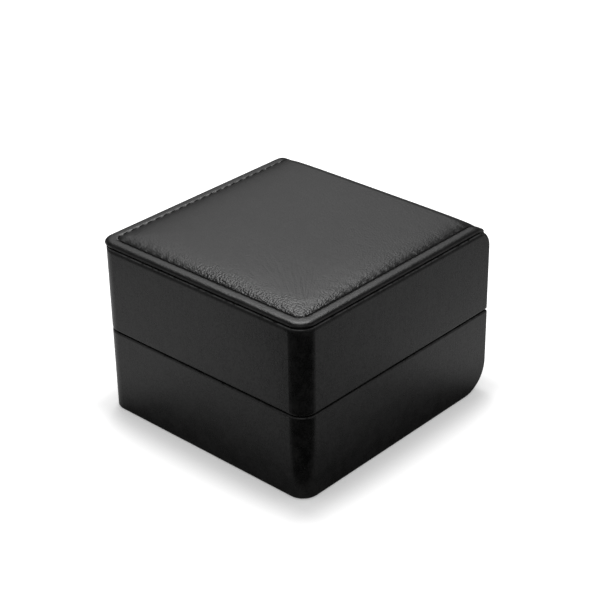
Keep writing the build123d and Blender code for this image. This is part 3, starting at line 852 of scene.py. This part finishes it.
pick(panel)
ring_flat, ring_points = flat, points_of(panel)
first, heading = None, None
for draw_in, down in TURNED_UNDER:
    before = len(panel.data.vertices)
    open_edges(panel)
    bpy.ops.mesh.extrude_edges_move()
    bpy.ops.object.mode_set(mode="OBJECT")
    points = points_of(panel)
    match = [int(np.argmin(((ring_points - point) ** 2).sum(1))) for point in points[before:]]
    if first is None:
        first = ring_flat[match]
        heading = inwards(first)
    else:
        first, heading = first[match], heading[match]
    along = first[:, 1]
    gap = np.where(along > TAPER_TO, TAIL_GAP, np.clip(wall_gap(along), LEAST_GAP, None))
    radius = roll_radius(along)
    drop = np.clip(gap - radius, LEAST_DROP, None)
    shift = heading * (draw_in * np.clip(gap / (TOP_LEVEL - WALL_TOP), 0, 1) ** 2)[:, None]
    points[before:] = bend(first[:, 0] + shift[:, 0], along + shift[:, 1], -radius - drop * down)
    move_points(panel, points)
    ring_points = points[before:]
thick = panel.modifiers.new("skin", "SOLIDIFY")
thick.thickness, thick.offset = SKIN * MM, -1
bpy.ops.object.modifier_apply(modifier="skin")
bpy.ops.object.shade_smooth_by_angle(angle=radians(50))
put_on(panel_leather, panel)
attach(panel, "lid")
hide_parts("lid_panel_cover")
print("panel:", len(panel.data.polygons), "faces")

# %% [markdown]
# Each stitch is a short length of black thread that dips into a hole at both ends. One is shaped
# from a cylinder, which is cut across several times so that it has rings to arch, to taper and to
# twist. A curve with a round profile would do as well, but a solid thread can be flatter than wide.

# %% One stitch
THREAD_R, THREAD_SIDES, THREAD_FLATNESS = 0.26, 8, 0.85
STITCH_LENGTH, STITCH_LIFT, STITCH_RINGS = 2.9, 0.02, 9
ARCH, POINTED, BLUNT_TIP = 0.40, 0.92, 0.05
STRANDS, TWIST_DEPTH, TWIST_TURN = 2, 0.10, 9

size = dict(radius=THREAD_R, depth=STITCH_LENGTH)
bpy.ops.mesh.primitive_cylinder_add(vertices=THREAD_SIDES, end_fill_type="TRIFAN", **size)
stitch = named("stitch")
bpy.ops.object.mode_set(mode="EDIT")
for ring in range(1, STITCH_RINGS):
    level_z = -STITCH_LENGTH / 2 + STITCH_LENGTH * ring / STITCH_RINGS
    bpy.ops.mesh.select_all(action="SELECT")
    bpy.ops.mesh.bisect(plane_co=(0, 0, level_z), plane_no=(0, 0, 1))
bpy.ops.object.mode_set(mode="OBJECT")

across, up, length = points_of(stitch).T
along = length / (STITCH_LENGTH / 2)
taper = np.sqrt(np.clip(1 - POINTED * np.abs(along) ** 5, BLUNT_TIP, 1))
twist = 1 + TWIST_DEPTH * np.cos(STRANDS * np.arctan2(up, across) + TWIST_TURN * along)
raised = up * taper * twist * THREAD_FLATNESS - ARCH * along ** 4
thread = np.column_stack([length, across * taper * twist, raised])
print("a stitch:", len(stitch.data.polygons), "faces")

# %% [markdown]
# The stitch is copied to every pitch of the seam, turned along the line with a slight slant, and
# bent over the back with the same bend as the sheet, so that it lies in the furrow all the way.

# %% Sew the seam
SLANT = Matrix.Rotation(radians(6), 2)

stitches = []
for spot, heading in seam:
    ahead = SLANT @ heading
    x = spot.x + ahead.x * thread[:, 0] - ahead.y * thread[:, 1]
    along = spot.y + ahead.y * thread[:, 0] + ahead.x * thread[:, 1]
    copy = stitch.copy()
    copy.data = stitch.data.copy()
    bpy.context.scene.collection.objects.link(copy)
    move_points(copy, bend(x, along, thread[:, 2] - FURROW + STITCH_LIFT))
    stitches.append(copy)
pick(stitch)
bpy.ops.object.delete()
pick(stitches[0])
for copy in stitches:
    copy.select_set(True)
bpy.ops.object.join()
seam_thread = named("panel_stitching")
bpy.ops.object.mode_set(mode="EDIT")
bpy.ops.mesh.select_all(action="SELECT")
bpy.ops.mesh.normals_make_consistent(inside=False)
bpy.ops.object.mode_set(mode="OBJECT")
bpy.ops.object.shade_smooth()
thread_finish = Finish("black_thread", Base_Color=grey(0.003), Roughness=0.8, Specular_IOR_Level=0.1)
put_on(thread_finish, seam_thread)
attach(seam_thread, "lid")
print("seam thread:", len(seam_thread.data.polygons), "faces")

# %% [markdown]
# The pillow is a block of foam in a velvet sleeve with a sewn end panel at each side. It is
# blocked out from a cube with its edges rounded, given an even mesh by a voxel remesh, and swollen
# as cloth so that it goes soft and full. A cap keeps it inside the room that the tray leaves.

# %% Pillow
PILLOW_INSET, PILLOW_ROUNDING, PILLOW_VOXEL = (1.6, 1.3, 1.1), 9.0, 1.8
pillow_low, pillow_high = (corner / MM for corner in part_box("pillow_sleeve"))
pillow_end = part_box("pillow_ends")[1].x / MM
pillow_low.x, pillow_high.x = -pillow_end, pillow_end


def soft_block(name, low, high, inset, edge_r, voxel):
    """A rounded block, a little smaller than its box, with an even mesh, in millimetres."""
    bpy.ops.mesh.primitive_cube_add(size=1, location=(low + high) / 2)
    block = named(name)
    block.scale = [high[k] - low[k] - 2 * inset[k] for k in range(3)]
    bpy.ops.object.transform_apply(location=True, rotation=False, scale=True)
    rounding = block.modifiers.new("rounding", "BEVEL")
    rounding.width, rounding.segments = edge_r, 6
    bpy.ops.object.modifier_apply(modifier="rounding")
    even = block.modifiers.new("even", "REMESH")
    even.mode, even.voxel_size = "VOXEL", voxel
    bpy.ops.object.modifier_apply(modifier="even")
    return block


def swollen(piece, pressure, cap, slack, pinned=None, **feel):
    """Swells a closed block as cloth, and keeps each point within cap millimetres of its start."""
    before = points_of(piece)
    inflate(piece, None if pinned is None else pinned(before), pressure, slack, **feel)
    change = points_of(piece) - before
    length = np.linalg.norm(change, axis=1, keepdims=True)
    change = change * np.tanh(length / cap) * cap / np.maximum(length, TINY)
    move_points(piece, before + change)
    print(piece.name, "swelled by up to", round(float(np.abs(change).max()), 2), "mm")
    pick(piece)
    piece.modifiers.new("finer", "SUBSURF").levels = 1
    bpy.ops.object.modifier_apply(modifier="finer")
    bpy.ops.object.shade_smooth()


pillow = soft_block("watch_pillow", pillow_low, pillow_high, PILLOW_INSET, PILLOW_ROUNDING, PILLOW_VOXEL)
swollen(pillow, pressure=4.0, cap=1.2, slack=0.006, bending=1.5)

# %% [markdown]
# The sleeve and its two end panels meet in a seam, and a thin piping is sewn into it. The seam
# draws the velvet in, so the points near it are pulled towards the middle of the pillow, with
# small tucks along it. The piping takes its line from the pillow itself: a copy is cut by the
# seam's plane until only the cut is left, and that loop becomes a curve with a round profile.

# %% End seams and piping
SEAM_X, FLAT_END = pillow_end - 4.6, pillow_end - 1.5
SEAM_DRAW, SEAM_WIDTH = 0.9, 1.3
TUCK_DRAW, TUCK_REACH, TUCKS, TUCK_DRIFT = 0.28, 5.0, 46, 2.5
PIPING_R = 0.65

points = points_of(pillow)
middle = (pillow_low + pillow_high) / 2
spoke = points - np.array([0, middle.y, middle.z])
spoke[:, 0] = 0
spoke /= np.maximum(np.linalg.norm(spoke, axis=1, keepdims=True), TINY)
from_seam = np.abs(np.abs(points[:, 0]) - SEAM_X)
bearing = np.arctan2(spoke[:, 2], spoke[:, 1])
tuck = np.sin(TUCKS * bearing + TUCK_DRIFT * np.sin(3 * bearing)) * np.exp(-from_seam / TUCK_REACH)
draw = (SEAM_DRAW * bell(from_seam, SEAM_WIDTH) + TUCK_DRAW * tuck) * (np.abs(points[:, 0]) < FLAT_END)
move_points(pillow, (points - spoke * draw[:, None]) * MM)

pipings = []
for side in (-1, 1):
    pick(pillow)
    bpy.ops.object.duplicate()
    bpy.ops.object.mode_set(mode="EDIT")
    bpy.ops.mesh.select_all(action="SELECT")
    seam_plane = dict(plane_co=(side * SEAM_X * MM, 0, 0), plane_no=(1, 0, 0))
    bpy.ops.mesh.bisect(**seam_plane, clear_inner=True, clear_outer=True)
    bpy.ops.object.mode_set(mode="OBJECT")
    bpy.ops.object.convert(target="CURVE")
    loop = bpy.context.object
    loop.data.bevel_depth, loop.data.bevel_resolution = PIPING_R * MM, 3
    bpy.ops.object.convert(target="MESH")
    pipings.append(bpy.context.object)
pick(pipings[0])
pipings[1].select_set(True)
bpy.ops.object.join()
piping = named("pillow_piping")
bpy.ops.object.shade_smooth()
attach(piping, "pillow")
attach(pillow, "pillow")
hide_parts("pillow_core", "pillow_sleeve", "pillow_ends")
print("piping:", len(piping.data.polygons), "faces")

# %% [markdown]
# The pad under the lid keeps the watch from rattling. It is a thin board of foam under satin. It
# starts as a rounded slab below the lining board, and its upper side stays pinned to the board.
# The lower side is crowned, and gathered along its border where the satin is pulled over.

# %% Lid pad
PAD_INSET, PAD_ROUNDING, PAD_VOXEL, PAD_PINNED = (0.8, 0.8, 0.3), 2.0, 1.4, 1.2
PAD_CROWN, CROWN_REACH = 1.6, 12.0
GATHER, GATHER_PITCH, GATHER_REACH = 0.30, 6.5, 5.0
pad_low, pad_high = (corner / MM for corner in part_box("lid_lining_pad"))

lid_pad = soft_block("lid_pad", pad_low, pad_high, PAD_INSET, PAD_ROUNDING, PAD_VOXEL)
points = points_of(lid_pad)
middle, half = (pad_low + pad_high) / 2, (pad_high - pad_low) / 2
to_sides = [half[k] - PAD_INSET[k] - np.abs(points[:, k] - middle[k]) for k in (0, 1)]
to_border = np.maximum(np.minimum(*to_sides), 0)
along_border = np.where(to_sides[0] < to_sides[1], points[:, 1], points[:, 0])
gather = GATHER * (1 + np.sin(2 * pi * along_border / GATHER_PITCH)) * np.exp(-to_border / GATHER_REACH)
below = points[:, 2] < middle.z
points[:, 2] += below * (PAD_CROWN * np.clip(1 - to_border / CROWN_REACH, 0, 1) ** 2 + gather)
move_points(lid_pad, points)
swollen(lid_pad, pressure=3.0, cap=0.7, slack=0.012, pinned=lambda p: p[:, 2] > pad_high.z - PAD_PINNED)
move_points(lid_pad, points_of(lid_pad) * MM)
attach(lid_pad, "lid")
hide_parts("lid_lining_pad")

# %% [markdown]
# The spring is a bowed strip of steel held under the lips of the two hinge leaves. It is drawn as
# a plane whose rows are bowed, then given the thickness of the strip.

# %% Hinge spring
SPRING_COLUMNS, SPRING_ROWS = 4, 25
STRIP, BEND_REACH = 0.4 * MM, Vector((0, 0, 4 * MM))
spring_low, spring_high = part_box("hinge_spring")
spring_size, spring_middle = spring_high - spring_low, (spring_high + spring_low) / 2

bpy.ops.mesh.primitive_grid_add(x_subdivisions=SPRING_COLUMNS, y_subdivisions=SPRING_ROWS, size=1)
spring = named("hinge_spring_strip")
across, up, _ = points_of(spring).T
bowed = spring_low.y + STRIP / 2 + (spring_size.y - STRIP) * (2 * up) ** 2
move_points(spring, np.column_stack([across * spring_size.x, bowed, spring_middle.z + up * spring_size.z]))
pick(spring)
thick = spring.modifiers.new("thick", "SOLIDIFY")
thick.thickness, thick.offset = STRIP, 0
bpy.ops.object.modifier_apply(modifier="thick")
bpy.ops.object.shade_smooth_by_angle(angle=radians(40))
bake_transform(spring)
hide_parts("hinge_spring")

# %% [markdown]
# Inside, the box is lined with short-pile velvet on card. Velvet scatters light at its edges, so
# it looks pale where it turns away, which the sheen gives. Brushed patches lie lighter or darker.
# The flocked tray and the sheet under the base are the same idea with a shorter, duller pile.

# %% Linings
VELVET, FLOCK = dict(size=0.35, depth=0.10), dict(size=0.22, depth=0.08)
BRUSHED_SIZE, BRUSHED_EDGE = 14.0, (0.35, 0.95)


def pile(name, dark, pale, sheen, size, depth):
    """A napped cloth. The size of its tufts and their depth are in millimetres."""
    matt = dict(Roughness=0.9, Specular_IOR_Level=0.15)
    cloth = Finish(name, Sheen_Weight=sheen, Sheen_Roughness=0.35, **matt)
    tufts = cloth.noise(size, 4.0, 0.65)
    tone = (tufts * 0.6 + cloth.noise(BRUSHED_SIZE, 2.0) * 0.7).step(*BRUSHED_EDGE)
    cloth.set(Base_Color=cloth.blend(tone, dark, pale), Normal=cloth.bump(tufts, depth))
    return cloth


lining_velvet = pile("lining_velvet", grey(0.014, 0.03), grey(0.042, 0.03), sheen=0.35, **VELVET)
pillow_velvet = pile("pillow_velvet", grey(0.024, 0.03), grey(0.070, 0.03), sheen=0.5, **VELVET)
tray_flock = pile("tray_flock", grey(0.010), grey(0.030), sheen=0.2, **FLOCK)
sheet_flock = pile("sheet_flock", grey(0.006), grey(0.018), sheen=0.1, **FLOCK)
put_on(lining_velvet, nodes["base_lining_walls"], nodes["base_lining_floor"], nodes["lid_lining_walls"])
put_on(pillow_velvet, pillow, piping)
put_on(tray_flock, nodes["pillow_tray"])
put_on(sheet_flock, nodes["base_bottom_sheet"])

# %% [markdown]
# Satin is smooth, with a fine weave and a gloss that is longer one way than the other. Two sets
# of waves stand for its threads, the warp and the coarser weft, and soft noise lets it lie in
# shallow folds over the foam.

# %% Satin
WARP_SCALE, WEFT_SCALE = 900.0, 500.0
WEAVE_DEPTH, FOLD_SIZE, SATIN_FOLD = 0.02, 18.0, 0.9

satin = Finish("satin", Specular_IOR_Level=0.5, Anisotropic=0.5, Sheen_Weight=0.2)


def threads(direction, scale):
    look = {"Scale": scale, "Distortion": 1.2, "Detail": 1.0, "Detail Scale": 3.0}
    return satin.node("ShaderNodeTexWave", {"bands_direction": direction}, {"Vector": satin.place(), **look})


warp, weft = threads("X", WARP_SCALE), threads("Y", WEFT_SCALE)
soft_fold = satin.noise(FOLD_SIZE, 2.0)
weave = (warp * 0.6 + weft * 0.4) * WEAVE_DEPTH
satin.set(Base_Color=satin.blend(warp * 0.5 + soft_fold * 0.5, grey(0.040, 0.02), grey(0.090, 0.02)))
satin.set(Roughness=(warp * weft).between(0.34, 0.48), Normal=satin.bump(weave + soft_fold * SATIN_FOLD))
put_on(satin, lid_pad)

# %% [markdown]
# The cores, cards and foam hardly show. Each is a plain matt stuff with a grain of its own and
# slight clouds in its colour, so one function makes all three.

# %% Card, foam and plastic
CLOUDS = 25


def plain_stuff(name, dark, pale, rough, size, depth):
    """Rough is the lowest and highest roughness. The grain's size and depth are in millimetres."""
    made = Finish(name, Specular_IOR_Level=0.4)
    grain = made.noise(size, 4.0, 0.6)
    cloud = made.noise(size * CLOUDS, 2.0)
    made.set(Base_Color=made.blend(grain * 0.5 + cloud * 0.5, dark, pale))
    made.set(Roughness=grain.between(*rough), Normal=made.bump(grain, depth))
    return made


plastic = plain_stuff("core_plastic", grey(0.010), grey(0.018), rough=(0.42, 0.60), size=0.5, depth=0.02)
board = plain_stuff("card", grey(0.020, 0.1), grey(0.035, 0.1), rough=(0.75, 0.90), size=0.7, depth=0.04)
foam = plain_stuff("foam", grey(0.050, 0.05), grey(0.110, 0.05), rough=(0.85, 0.95), size=0.9, depth=0.25)
put_on(plastic, nodes["base_frame"], nodes["lid_frame"])
put_on(board, nodes["lid_panel_board"], nodes["lid_lining_board"])
put_on(foam, nodes["lid_panel_foam"])

# %% [markdown]
# The hinge is stamped from rolled sheet, and rolling leaves fine lines along the metal. The noise
# for them is drawn out along the hinge. The leaves, pins and rivets are plated and bright, and the
# hardened strip of the spring is darker.

# %% Steel
ROLLED_SCALES, ROLLED_DEPTH, WORN_SIZE, DULL = (120.0, 2500.0, 2500.0), 0.006, 3.0, 0.75


def steel(name, tone, rough):
    metal = Finish(name, Metallic=1.0)
    rolled = metal.streaks(ROLLED_SCALES, 3.0)
    worn = rolled * 0.6 + metal.noise(WORN_SIZE) * 0.4
    metal.set(Base_Color=metal.blend(worn, grey(tone * DULL, 0.02), grey(tone, 0.02)))
    metal.set(Roughness=worn.between(*rough), Normal=metal.bump(rolled, ROLLED_DEPTH))
    return metal


plated = steel("plated_steel", 0.62, (0.22, 0.38))
put_on(plated, nodes["hinge_leaf_base"], nodes["hinge_leaf_lid"], nodes["hinge_pivots"])
put_on(plated, nodes["hinge_rivets_base"], nodes["hinge_rivets_lid"])
put_on(steel("spring_steel", 0.40, (0.26, 0.42)), spring)
